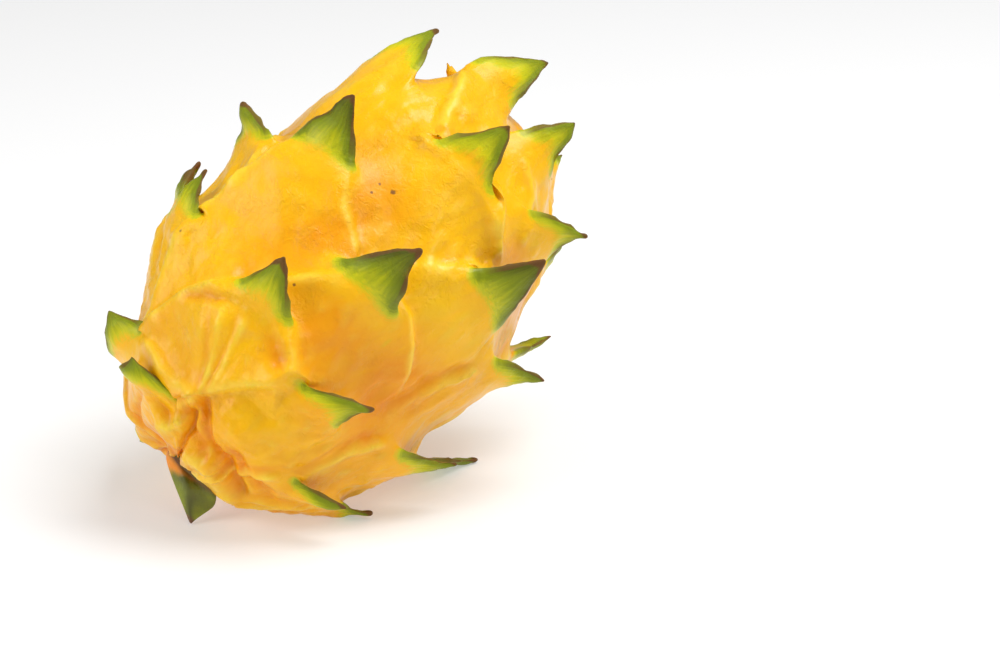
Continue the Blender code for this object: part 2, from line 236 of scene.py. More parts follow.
# Blade of a scale, at each ring from its root to its tip, and its form as a whole.
RING_PLACES = (0.30, 0.56, 0.78, 0.92, 1.0)
RING_WIDTHS = (0.68, 0.48, 0.28, 0.13, 0.03)
RING_THICKNESS = (0.0038, 0.0029, 0.0022, 0.0016, 0.0009)
BLADE_ARCH = 0.0012
ROOT_RISE = math.radians(38)
BEND_SHARE = 0.45
RIM_THICKNESS = 0.22
SLENDER = 0.12
SLENDER_SHORT = 0.4
BLADE_WAVE = 0.0006

# Values at each corner of a blade: way up it, way across it, how dark its green and how dry its tip.
BLADE_LAYERS = ("leaf", "side", "tone", "dry")

# Noise on the skin: the size of its waves, and the seed of its random draws.
RIDGE_NOISE = (0.016, 3)
WRINKLE_NOISE = (0.0046, 5)
WRINKLE_PATCHES = (0.030, 8)
LUMP_NOISE = (0.014, 11)
LUMP_HEIGHT = 0.0003
BLADE_NOISE = (0.009, 21)
VEIN_NOISE = (0.0042, 13)
LUMP_WAVES = 7

# Folds at the stem end, and the sunken poles.
LOBES = 5
LOBE_DEPTH = 0.10
LOBE_START = -0.62
LOBE_TURN = math.radians(20)
STEM_DIMPLE = 0.0045
FLOWER_DIMPLE = 0.0060
DIMPLE_SHARES = (1.0, 0.75)

# The cut stem and the withered flower.
STICK_SIDES = 28
STEM_SQUASH = 0.52
STEM_INNER = -0.0490
STEM_OUTER = -0.0542
STEM_LIP = 0.0012
STEM_TURN = math.radians(116)
STEM_AROUND = math.radians(128)
STEM_DROP = 0.0042
BRACT_AROUND = math.radians(188)
BRACT_BASE = math.radians(232)
BRACT_RISE = math.radians(35)
BRACT_REACH = 0.0104
BRACT_OUTWARD = 0.0065
BRACT_HALF_WIDTH = 0.0110
BRACT_BULGE = 0.25
BRACT_THICKNESS = 0.0022
BRACT_COLUMNS = 11
FLOWER_INNER = 0.0450

# Rings of the withered flower from its base on: way out from it, and share of its radius.
FLOWER_RINGS = (
    (0.0, 0.95),
    (0.0035, 0.95),
    (0.0055, 0.78),
    (0.0070, 0.84),
    (0.0084, 0.86),
    (0.0100, 0.62),
    (0.0086, 0.34),
    (0.0078, 0.10),
)


def smooth_step(value):
    """0 below 0, 1 above 1, and an even curve between. Takes numbers and arrays."""
    value = np.clip(value, 0.0, 1.0)
    return value * value * (3 - 2 * value)


def turn_between(a, b):
    """The angle from b to a, the short way round."""
    return (a - b + math.pi) % (2 * math.pi) - math.pi


def size_property(name, description, default):
    return FloatProperty(name=name, description=description, default=default, unit="LENGTH")


def angle_property(name, description, degrees):
    return FloatProperty(name=name, description=description, default=math.radians(degrees), subtype="ANGLE")


def power_property(name, description, default):
    return FloatProperty(name=name, description=description, default=default, unit="POWER")


class DragonFruitSizes(bpy.types.PropertyGroup):
    half_length: size_property("Half length", "Half the length of the body between its poles", 0.056)
    half_width: size_property("Half width", "Half the width of the body", 0.038)
    tilt: angle_property("Tilt", "How far the flower end is raised as the fruit lies", 32)
    mound_height: size_property("Mound height", "How far the skin swells under a scale", 0.0076)
    hollow_depth: size_property("Hollow depth", "How far the skin sinks between the scales", 0.0056)
    ridge_height: size_property("Ridge height", "Height of the ridges below a scale's corners", 0.0010)
    wrinkle_height: size_property("Wrinkle height", "Height of the long soft wrinkles", 0.0005)
    stem_half_width: size_property("Stem half width", "Half the long side of the cut stem", 0.0066)
    flower_radius: size_property("Flower radius", "Radius of the withered flower at its base", 0.0052)


def colour_property(name, description, default):
    return FloatVectorProperty(
        name=name, description=description, default=default, size=3, min=0, max=1, subtype="COLOR"
    )


class DragonFruitColours(bpy.types.PropertyGroup):
    yellow: colour_property("Yellow", "Most of the skin", (0.95, 0.50, 0.001))
    # Orange is the skin's own deeper tone, and also painted shade in its hollows, grooves and creases and
    # lower down.
    orange: colour_property("Orange", "The hollows between the scales", (0.84, 0.27, 0.0))
    # Pale is also painted highlight along the ridges and crests.
    pale: colour_property("Pale", "Ridges and rubbed places", (0.97, 0.66, 0.05))
    lime: colour_property("Lime", "Where a scale turns from yellow to green", (0.60, 0.57, 0.006))
    green: colour_property("Green", "The upper part of a scale", (0.24, 0.29, 0.003))
    dark_green: colour_property("Dark green", "The darkest scales", (0.09, 0.10, 0.002))
    brown: colour_property("Brown", "Dry rims and tips", (0.16, 0.065, 0.022))
    wood: colour_property("Wood", "The core of the cut stem", (0.30, 0.20, 0.09))
    husk: colour_property("Husk", "The withered flower", (0.20, 0.115, 0.05))
    floor: colour_property("Floor", "The floor under the fruit", (0.64, 0.64, 0.64))


class DragonFruitStudio(bpy.types.PropertyGroup):
    azimuth: angle_property("Azimuth", "Where the camera stands round the fruit", -41)
    elevation: angle_property("Elevation", "How high the camera stands", 20)
    distance: size_property("Distance", "From the camera to the middle of the fruit", 0.6111)
    slide_right: size_property("Slide right", "How far the camera is set to the right", 0.0341)
    slide_up: size_property("Slide up", "How far the camera is set up", -0.01023)
    lens: FloatProperty(
        name="Lens", description="Focal length in millimetres", default=100.0, subtype="DISTANCE_CAMERA"
    )
    key_power: power_property("Key light", "Power of the main light", 8.2)
    fill_power: power_property("Fill light", "Power of the side light", 4.0)
    front_power: power_property("Front light", "Power of the light that glints on the front", 0.8)
    sky: FloatProperty(name="Sky", description="Strength of the white surroundings", default=0.27)


class FruitForm:
    """The fruit's outline and its scales, from the sizes in the panel."""

    def __init__(self, sizes):
        self.length = sizes.half_length
        self.width = sizes.half_width
        self.sizes = sizes
        self.axis = Vector((math.cos(sizes.tilt), 0, math.sin(sizes.tilt)))
        self.top = Vector((-math.sin(sizes.tilt), 0, math.cos(sizes.tilt)))
        self.front = Vector((0, -1, 0))
        self.to_fruit = Matrix((self.top, self.front, self.axis)).transposed().to_4x4()
        self.roots = [(along, math.radians(around)) for along, around, *_ in SCALES]
        self.cells = [self.nearest_cell(root) for root in self.roots]

    def outline_radius(self, along):
        """Radius of the fruit's outline at a place along it."""
        inside = np.clip(1 - np.abs(along) ** END_POWER, 0, None)
        return self.width * inside ** (1 / SIDE_POWER)

    def on_fruit(self, along, around, radius):
        """The point at this share of the half length, this angle and this distance from the axis."""
        spoke = math.cos(around) * self.top + math.sin(around) * self.front
        return self.axis * (self.length * along) + spoke * radius

    def skin_slope(self, along):
        """The angle between the axis and the outline towards the flower end."""
        step = 0.01
        climb = self.outline_radius(along + step) - self.outline_radius(along - step)
        return math.atan2(climb, 2 * step * self.length)

    def offsets_from(self, root, along, around):
        """Distances over the skin from a scale's root: towards the flower end, and round the body."""
        radius = np.maximum(self.outline_radius(root[0]), self.outline_radius(along) * 0.5)
        return self.length * (along - root[0]), radius * turn_between(around, root[1])

    def root_share(self, root):
        """1 at the body's widest, and less for a scale near one of its ends."""
        return min(1.0, END_SPREAD + (1 - END_SPREAD) * float(self.outline_radius(root[0])) / self.width)

    def mound(self, along, around):
        """0 to 1: how much of the full mound stands at this place."""
        bare = 1.0
        for root, (_, _, reach, _, _, width) in zip(self.roots, SCALES):
            ahead, across = self.offsets_from(root, along, around)
            fall = 1 - smooth_step(abs(ahead) / (MOUND_FRONT if ahead > 0 else MOUND_TAIL))
            spread = MOUND_SPREAD * self.root_share(root) * (1 + width) / 2
            bare *= 1 - fall * min(1.0, reach / FULL_REACH) * math.exp(-((across / spread) ** 2))
        return 1 - bare

    def belly(self, along, around):
        """Share of the belly's fullness at this place."""
        off_along = (along - BELLY_ALONG) / BELLY_REACH
        off_around = turn_between(around, math.pi) / BELLY_TURN
        return math.exp(-(off_along**2) - off_around**2)

    def lobes(self, along, around):
        """The stem end gathers into soft folds."""
        share = smooth_step((LOBE_START - along) / (1 + LOBE_START))
        return 1 + LOBE_DEPTH * share * math.cos(LOBES * around + LOBE_TURN)

    def skin_point(self, along, around):
        outline = float(self.outline_radius(along))
        size = min(1.0, outline / (self.width * 0.5))
        rise = (self.sizes.mound_height * self.mound(along, around) - self.sizes.hollow_depth) * size
        rise += BELLY_FULLNESS * self.belly(along, around)
        return self.on_fruit(along, around, max(outline * self.lobes(along, around) + rise, 0.0))

    def ring_along(self, ring):
        return -math.cos(math.pi * ring / ROWS)

    def nearest_cell(self, root):
        """The cage's row of faces and its column line that lie nearest to a scale's root."""
        middles = {row: (self.ring_along(row) + self.ring_along(row + 1)) / 2 for row in range(2, ROWS - 2)}
        row = min(middles, key=lambda r: abs(middles[r] - root[0]))
        return row, round(root[1] / (2 * math.pi / COLUMNS)) % COLUMNS, middles[row]

    def nudged(self, along, around):
        """Draws the cage sideways, so that the middle of a scale's two faces lies on its root."""
        total = 0.0
        shift_along = 0.0
        shift_around = 0.0
        for root, (_, column, middle) in zip(self.roots, self.cells):
            home = 2 * math.pi * column / COLUMNS
            ahead = self.length * (along - middle)
            across = self.outline_radius(middle) * turn_between(around, home)
            share = 1 - smooth_step(2 * math.hypot(ahead, across) / NUDGE_REACH - 1)
            total += share
            shift_along += share * (root[0] - middle)
            shift_around += share * turn_between(root[1], home)
        spread = max(1.0, total)
        return along + shift_along / spread, around + shift_around / spread

    def ridges(self, along, around, wobble):
        """Shares of the ridges that run down from each scale's corners where no folds are listed, of the
        grooves outside them, of the painted shadow behind each scale and of the skin below it."""
        ridge = np.zeros(len(along))
        groove = np.zeros(len(along))
        hollow_shade = np.zeros(len(along))
        skirt = np.zeros(len(along))
        for root, scale in zip(self.roots, SCALES):
            ahead, across = self.offsets_from(root, along, around)
            share = self.root_share(root)
            corner = float(self.outline_radius(root[0])) * math.sin(2 * math.pi / COLUMNS) * RIDGE_CORNER
            spread = RIDGE_SPREAD * share * (1 - np.exp(-np.clip(-ahead, 0, None) / RIDGE_TURN))
            off = np.abs(across) - corner - spread - wobble * RIDGE_WOBBLE
            if math.cos(root[1] - VIEW_AROUND) < VIEW_SHARE:
                fade = smooth_step((0.002 - ahead) / 0.004)
                fade *= 1 - smooth_step(-ahead / (RIDGE_LENGTH * share))
                ridge = np.maximum(ridge, fade * np.exp(-((off / RIDGE_WIDTH) ** 2)))
                groove = np.maximum(groove, fade * np.exp(-((off / RIDGE_WIDTH - 2.2) ** 2)))
            behind = smooth_step((ahead + 0.001) / 0.003)
            behind *= 1 - smooth_step(ahead / (HOLLOW_REACH * share))
            hollow_shade = np.maximum(hollow_shade, behind * np.exp(-((across / (HOLLOW_REACH * 0.7 * share)) ** 2)))
            below = smooth_step((0.004 - ahead) / 0.003)
            below *= 1 - smooth_step(-ahead / (SKIRT_LENGTH * share))
            edge = np.exp(-((off / (0.0025 * share)) ** 2))
            middle = np.exp(-((across / (SKIRT_WIDTH * share)) ** 4))
            size = min(1.0, scale[2] / FULL_REACH)
            green = CHARACTER.get(scale[:2], PLAIN)[3]
            skirt = np.maximum(skirt, below * np.maximum(edge, green * middle) * size)
        return ridge, groove, hollow_shade, skirt

    def on_outline(self, along, around):
        """Points of the outline without its mounds, for arrays of places."""
        spokes = np.cos(around)[:, None] * np.array(self.top)
        spokes = spokes + np.sin(around)[:, None] * np.array(self.front)
        middles = self.length * along[:, None] * np.array(self.axis)
        return middles + self.outline_radius(along)[:, None] * spokes

    def fold_line(self, places):
        """Points along a fold, some between each two of its places."""
        steps = np.arange(FOLD_STEPS * (len(places) - 1) + 1) / FOLD_STEPS
        along = np.interp(steps, range(len(places)), [place[0] for place in places])
        turns = np.unwrap([math.radians(place[1]) for place in places])
        return self.on_outline(along, np.interp(steps, range(len(places)), turns))

    def distances(self, smooth, place):
        """Distances of these points of the outline from a place on it."""
        return np.linalg.norm(smooth - self.fold_line([place, place])[0], axis=1)

    def spread_round(self, smooth, place, reach):
        """1 at a place of the outline and less with the distance, over a reach in millimetres."""
        return np.exp(-((self.distances(smooth, place) / (reach * 0.001)) ** 2))

    def folds(self, along, around, wobble):
        """Height of the listed folds, and the shares of their crests and of their creases."""
        rise = np.zeros(len(along))
        crest = np.zeros(len(along))
        crease = np.zeros(len(along))
        smooth = self.on_outline(along, around)
        for height, steep, gentle, *places in FOLDS:
            line = self.fold_line(places)
            nearest = np.full(len(along), self.length)
            off = nearest.copy()
            for start, end in zip(line, line[1:]):
                way = end - start
                away = smooth - start
                away -= np.clip((away @ way) / (way @ way), 0, 1)[:, None] * way
                distance = np.linalg.norm(away, axis=1)
                hand = (np.cross(away, way) * smooth).sum(axis=1)
                off = np.where(distance < nearest, np.copysign(distance, hand), off)
                nearest = np.minimum(nearest, distance)
            off = off + 0.3 * wobble * RIDGE_WOBBLE
            bump = np.exp(-((off / (np.where(off > 0, gentle, steep) * 0.001)) ** 2))
            rise += height * 0.001 * bump
            if height > 0:
                crest = np.maximum(crest, np.exp(-((off / (steep * 0.001)) ** 2)))
            else:
                crease = np.maximum(crease, bump * min(1.0, -height))
        for height, reach, *place in SWELLINGS:
            rise += height * 0.001 * self.spread_round(smooth, place, reach)
        return rise, crest, crease

    def scale_tip(self, scale):
        along, around, reach, rise, lean, _ = scale
        slope = self.skin_slope(along)
        forward = (reach * math.cos(slope) - rise * math.sin(slope)) * 0.001
        outward = (reach * math.sin(slope) + rise * math.cos(slope)) * 0.001
        radius = float(self.outline_radius(along)) + outward
        return self.on_fruit(along + forward / self.length, math.radians(around + lean), radius)


class Value:
    """A number in a material, so that shader maths is written as Python."""

    def __init__(self, finish, socket):
        self.finish = finish
        self.socket = socket

    def maths(self, operation, *values, clamp=False):
        settings = {"operation": operation, "use_clamp": clamp}
        made = self.finish.node("ShaderNodeMath", settings, dict(enumerate(values)))
        return Value(self.finish, made.outputs[0])

    def __add__(self, other):
        return self.maths("ADD", self, other)

    def __radd__(self, other):
        return self.maths("ADD", other, self)

    def __sub__(self, other):
        return self.maths("SUBTRACT", self, other)

    def __rsub__(self, other):
        return self.maths("SUBTRACT", other, self)

    def __mul__(self, other):
        return self.maths("MULTIPLY", self, other)

    def __rmul__(self, other):
        return self.maths("MULTIPLY", other, self)

    def __abs__(self):
        return self.maths("ABSOLUTE", self)

    def clamped(self):
        return self.maths("ADD", self, 0.0, clamp=True)

    def step(self, start, end):
        """0 before start, 1 after end, and an even curve between."""
        inputs = {0: self, 1: start, 2: end, 3: 0.0, 4: 1.0}
        made = self.finish.node("ShaderNodeMapRange", {"interpolation_type": "SMOOTHSTEP"}, inputs)
        return Value(self.finish, made.outputs[0])


class Finish:
    """One material. Numbers are Values, and colours and vectors are sockets."""

    def __init__(self, name):
        self.material = bpy.data.materials.new(name)
        self.material.use_nodes = True
        self.tree = self.material.node_tree
        self.shader = self.tree.nodes["Principled BSDF"]

    def node(self, kind, settings=None, inputs=None):
        """A node of this kind: its settings are set first, then the values or links of its sockets."""
        made = self.tree.nodes.new(kind)
        for name, value in (settings or {}).items():
            setattr(made, name, value)
        for name, value in (inputs or {}).items():
            self.plug(made.inputs[name], value)
        return made

    def plug(self, socket, value):
        if isinstance(value, Value):
            self.tree.links.new(value.socket, socket)
        elif isinstance(value, bpy.types.NodeSocket):
            self.tree.links.new(value, socket)
        else:
            socket.default_value = value

    def attribute(self, name):
        made = self.node("ShaderNodeAttribute", {"attribute_name": name})
        return Value(self, made.outputs["Fac"])

    def place(self):
        return self.node("ShaderNodeTexCoord").outputs["Object"]

    def height(self, place):
        return Value(self, self.node("ShaderNodeSeparateXYZ", None, {0: place}).outputs["Z"])

    def vector(self, x, y, z):
        return self.node("ShaderNodeCombineXYZ", None, {0: x, 1: y, 2: z}).outputs[0]

    def noise(self, vector, scale, detail=3.0, roughness=0.5, distortion=0.0):
        inputs = {
            "Vector": vector,
            "Scale": scale,
            "Detail": detail,
            "Roughness": roughness,
            "Distortion": distortion,
        }
        return Value(self, self.node("ShaderNodeTexNoise", None, inputs).outputs["Fac"])

    def spot(self, place, middle, reach, grain):
        """1 at a point and 0 outside this reach of it, with a ragged edge."""
        made = self.node("ShaderNodeVectorMath", {"operation": "DISTANCE"}, {0: place, 1: middle})
        away = Value(self, made.outputs["Value"]) + (grain - 0.5) * reach * 2.0
        return 1 - away.step(reach * 0.3, reach * 1.2)

    def mix(self, share, a, b):
        """Colour a where share is 0 and b where it is 1."""
        colours = [(*c, 1) if not isinstance(c, bpy.types.NodeSocket) else c for c in (a, b)]
        made = self.node("ShaderNodeMix", {"data_type": "RGBA"}, {0: share, 6: colours[0], 7: colours[1]})
        return made.outputs[2]

    def bump(self, height, distance, strength=1.0, normal=None):
        inputs = {"Height": height, "Distance": distance, "Strength": strength}
        if normal:
            inputs["Normal"] = normal
        return self.node("ShaderNodeBump", None, inputs).outputs["Normal"]

    def set(self, **values):
        """Sets sockets of the shader, whose names are written with underscores."""
        for name, value in values.items():
            self.plug(self.shader.inputs[name.replace("_", " ").title().replace("Ior", "IOR")], value)


def skin_finish(colours, scars):
    """Glossy waxy yellow skin that turns green up each scale and brown at its rims."""
    finish = Finish("waxy_skin")
    place = finish.place()
    leaf, side, tone, dry_tip = map(finish.attribute, BLADE_LAYERS)
    ridge, hollow_shade, skirt, veins = map(finish.attribute, ("ridge", "hollow_shade", "skirt", "veins"))
    edge = abs(side)
    cloud = finish.noise(place, 55.0, 4.0)
    patch = finish.noise(place, 160.0, 4.0, 0.6)
    grain = finish.noise(place, 900.0, 3.0, 0.6)

    # Painted shade: a darker orange lower down on the fruit and in its hollows, grooves and creases; the
    # clouds and veins add the skin's own uneven tone.
    low = (0.060 - finish.height(place)) * 18.0
    depth = hollow_shade * 0.65 + low.clamped() * 0.33 + (cloud - 0.52) * 1.0 + (veins - 0.5) * 0.3
    skin = finish.mix(depth.clamped(), colours.yellow, colours.orange)
    # Painted highlight: paler along the ridges and crests; the patches and veins add the skin's own lighter
    # places.
    pale = ridge * 0.7 + (patch - 0.56) * 0.8 + (veins - 0.5) * 0.5
    skin = finish.mix(pale.clamped(), skin, colours.pale)
    unripe = (finish.noise(place, 38.0, 3.0, 0.55) + (veins - 0.5) * 0.25).step(0.50, 0.72)
    skin = finish.mix(unripe * (1 - hollow_shade * 0.7) * 0.12, skin, colours.lime)

    streak = finish.noise(finish.vector(side * 4.0, leaf * 1.2, tone * 31.0), 1.8, 4.0, 0.6)
    climb = leaf * 0.8 + skirt * 0.46 - 0.22 + (patch - 0.5) * 0.12
    climb = climb + ((streak - 0.5) * 0.3 + (tone - 0.5) * 0.35) * leaf.step(0.0, 0.2)
    skin = finish.mix(climb.step(0.16, 0.38), skin, colours.lime)
    skin = finish.mix(climb.step(0.30, 0.60), skin, colours.green)
    skin = finish.mix(climb.step(0.50, 0.95) * tone.step(0.15, 0.85), skin, colours.dark_green)

    ragged = (patch - 0.5) * 0.22
    rim = (edge + ragged * 0.5 + dry_tip * 0.03).step(0.96, 1.0) * (leaf + ragged).step(0.30, 0.62)
    tip = (leaf + ragged * 0.6 + dry_tip * edge * 0.12 + dry_tip * 0.05).step(0.94, 1.0)
    dry = ((rim * 0.75 + tip) * tone.step(-0.5, 0.0)).clamped()
    skin = finish.mix(dry * 0.9, skin, colours.brown)
    for middle, size in scars:
        skin = finish.mix(finish.spot(place, middle, size, grain) * 0.85, skin, colours.brown)

    crinkle = finish.noise(place, 650.0, 4.0, 0.6, 0.8)
    folds = finish.noise(place, 120.0, 3.0, 0.5, 0.4)
    height = crinkle * (folds.step(0.35, 0.75) * 0.8 + 0.2) + grain * 0.12 + streak * leaf * 0.6
    finish.set(
        base_color=skin,
        roughness=0.30 + dry * 0.3 + leaf * 0.22 + (patch - 0.5) * 0.16,
        normal=finish.bump(height + veins * 0.5, 0.0005),
        subsurface_weight=0.15,
        subsurface_radius=(0.9, 0.5, 0.1),
        subsurface_scale=0.003,
        specular_ior_level=0.18,
        coat_weight=0.4 - leaf.step(0.15, 0.6) * 0.32,
        coat_roughness=0.28,
        coat_ior=1.4,
    )
    return finish.material


def stem_finish(colours):
    """Dark green rind round a woody cut, and a dark glossy leaf."""
    finish = Finish("cut_stem")
    place = finish.place()
    core = finish.attribute("core")
    leaf = finish.attribute("leaf")
    side = finish.attribute("side")
    fibre = finish.noise(place, 700.0, 4.0, 0.65)
    cloud = finish.noise(place, 160.0, 3.0)
    rind = finish.mix(cloud.step(0.4, 0.65), colours.dark_green, colours.brown)
    green = finish.mix((cloud * 0.6 + abs(side) * 0.3).step(0.35, 0.7), colours.dark_green, colours.green)
    ripe = (0.26 - leaf + side * 0.38 + (cloud - 0.5) * 0.5).step(0.0, 0.22)
    green = finish.mix(ripe, green, colours.orange)
    rind = finish.mix(leaf.step(0.05, 0.3), rind, green)
    tip = (leaf + (cloud - 0.5) * 0.2).step(0.88, 0.98)
    rind = finish.mix(tip, rind, colours.brown)
    wood = finish.mix(fibre, colours.brown, colours.wood)
    finish.set(
        base_color=finish.mix(core, rind, wood),
        roughness=0.60 + core * 0.3 - leaf.step(0.05, 0.3) * 0.30,
        normal=finish.bump(fibre * (1 - leaf * 0.8), 0.0004),
    )
    return finish.material


def husk_finish(colours):
    """Dry, creased, papery brown."""
    finish = Finish("dry_husk")
    place = finish.place()
    crease = finish.noise(place, 380.0, 5.0, 0.7, 1.2)
    cloud = finish.noise(place, 120.0, 3.0)
    dry = finish.mix(cloud, colours.husk, colours.brown)
    finish.set(
        base_color=finish.mix(crease.step(0.5, 0.8) * 0.7, dry, colours.wood),
        roughness=0.75 + (cloud - 0.5) * 0.2,
        normal=finish.bump(crease, 0.0006),
    )
    return finish.material


def floor_finish(colours):
    """Matt and pale, and faintly lit of itself, so that shadows on it stay light."""
    finish = Finish("pale_floor")
    finish.set(base_color=(*colours.floor, 1), roughness=0.7)
    finish.set(emission_color=(1, 1, 1, 1), emission_strength=0.34)
    return finish.material


def deselect_all():
    if bpy.context.object and bpy.context.object.mode != "OBJECT":
        bpy.ops.object.mode_set(mode="OBJECT")
    bpy.ops.object.select_all(action="DESELECT")


def start_piece(name):
    """Names the primitive that was just added and opens it for editing with nothing selected."""
    piece = bpy.context.object
    piece.name = name
    piece.data.name = name
    bpy.ops.object.mode_set(mode="EDIT")
    bpy.ops.mesh.select_all(action="DESELECT")
    return piece


def finish_piece(piece, node, material):
    """Gives the piece its material and its place in the model."""
    piece.data.materials.clear()
    piece.data.materials.append(material)
    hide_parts(node)
    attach(piece, BODY)


def edit_mesh(piece):
    return bmesh.from_edit_mesh(piece.data)


def points_of(mesh, kind="co"):
    """The places of the mesh's corners, or their normals where kind says so."""
    points = np.empty(len(mesh.vertices) * 3)
    mesh.vertices.foreach_get(kind, points)
    return points.reshape(-1, 3)


def set_points(mesh, points):
    mesh.vertices.foreach_set("co", points.astype(np.float32).ravel())
    mesh.update()


def read_layer(mesh, name):
    values = np.empty(len(mesh.vertices))
    mesh.attributes[name].data.foreach_get("value", values)
    return values


def write_layer(mesh, name, values):
    layer = mesh.attributes.get(name) or mesh.attributes.new(name, "FLOAT", "POINT")
    layer.data.foreach_set("value", np.asarray(values, np.float32))


def spread_evenly(mesh, values, rounds):
    """Averages a value with its neighbours' over the mesh, some rounds."""
    edges = np.empty(len(mesh.edges) * 2, np.int64)
    mesh.edges.foreach_get("vertices", edges)
    edges = edges.reshape(-1, 2)
    count = np.bincount(edges.ravel(), minlength=len(values))
    for _ in range(rounds):
        total = np.bincount(edges[:, 0], values[edges[:, 1]], len(values))
        total += np.bincount(edges[:, 1], values[edges[:, 0]], len(values))
        values = (values + total / np.maximum(count, 1)) / 2
    return values


def random_lumps(points, size, seed):
    """Soft noise round 0, of sine waves in random directions at this size, a half and a quarter of it."""
    draw = np.random.default_rng(seed)
    total = np.zeros(len(points))
    weights = (1.0, 0.5, 0.25)
    for weight in weights:
        wave = np.zeros(len(points))
        for _ in range(LUMP_WAVES):
            direction = draw.normal(size=3)
            direction /= np.linalg.norm(direction)
            length = size * weight * draw.uniform(0.7, 1.4)
            wave += np.sin(points @ direction * (2 * math.pi / length) + draw.uniform(0, 2 * math.pi))
        total += weight * wave / math.sqrt(LUMP_WAVES)
    return total / sum(weights)


def select_between(piece, corners):
    """Selects the faces whose corners are all among these places."""
    bpy.ops.mesh.select_all(action="DESELECT")
    bpy.ops.mesh.select_mode(type="FACE")
    mesh = edit_mesh(piece)
    near = {min(mesh.verts, key=lambda v: (v.co - corner).length_squared) for corner in corners}
    found = [face for face in mesh.faces if set(face.verts) <= near]
    if len(found) != len(corners) // 2 - 1:
        raise RuntimeError("the root of a blade is not one strip of faces")
    for face in found:
        face.select_set(True)
    mesh.select_flush_mode()
    bmesh.update_edit_mesh(piece.data)


def draw_blade(piece, corners, start, tip, half_width, twist=0.0, tone=0.5, dry=0.3, bulge=0.0):
    """Draws the faces between two rows of corners out into a thin blade that starts off one way and
    ends at its tip, turning about itself by the twist and bulging out between by a share of its
    width. The first row becomes its outer face."""
    select_between(piece, corners)
    columns = len(corners) // 2
    middle = columns // 2
    root = sum(corners, Vector()) / len(corners)
    bend = root + start * (tip - root).length * BEND_SHARE
    flat = (corners[columns - 1] - corners[0]).normalized()
    slender = SLENDER + SLENDER_SHORT * max(0.0, half_width / (tip - root).length - 0.5)
    for place, width, thickness in zip(RING_PLACES, RING_WIDTHS, RING_THICKNESS):
        centre = (1 - place) ** 2 * root + 2 * place * (1 - place) * bend + place**2 * tip
        forward = ((1 - place) * (bend - root) + place * (tip - bend)).normalized()
        across = Matrix.Rotation(twist * (0.4 + 0.6 * place), 3, forward) @ flat
        outward = across.cross(forward).normalized()
        spread = half_width * width * (1 - slender * place) * (1 + bulge * math.sin(math.pi * place))
        bpy.ops.mesh.extrude_region()
        mesh = edit_mesh(piece)
        layers = mesh.verts.layers.float
        raised = [vertex for vertex in mesh.verts if vertex.select]
        for number, corner in enumerate(corners):
            vertex = min(raised, key=lambda v: (v.co - corner).length_squared)
            raised.remove(vertex)
            step = (number % columns - middle) / middle
            side = 0.5 if number < columns else -0.5
            depth = thickness * side * (1 - (1 - RIM_THICKNESS) * abs(step))
            arch = BLADE_ARCH * (1 - place) * (1 - 2 * abs(step))
            vertex.co = centre + across * (step * spread) + outward * (depth + arch)
            for name, value in zip(BLADE_LAYERS, (place, step, tone, dry)):
                vertex[layers[name]] = value
            corners[number] = vertex.co.copy()
        bmesh.update_edit_mesh(piece.data)


def add_layers(piece):
    for name in BLADE_LAYERS:
        edit_mesh(piece).verts.layers.float.new(name)


def round_off(piece):
    """Subdivides the piece and leaves it smooth, out of edit mode."""
    bpy.ops.object.mode_set(mode="OBJECT")
    rounding = piece.modifiers.new("rounding", "SUBSURF")
    rounding.levels = ROUNDING
    rounding.render_levels = ROUNDING
    bpy.ops.object.modifier_apply(modifier=rounding.name)
    bpy.ops.object.shade_smooth()


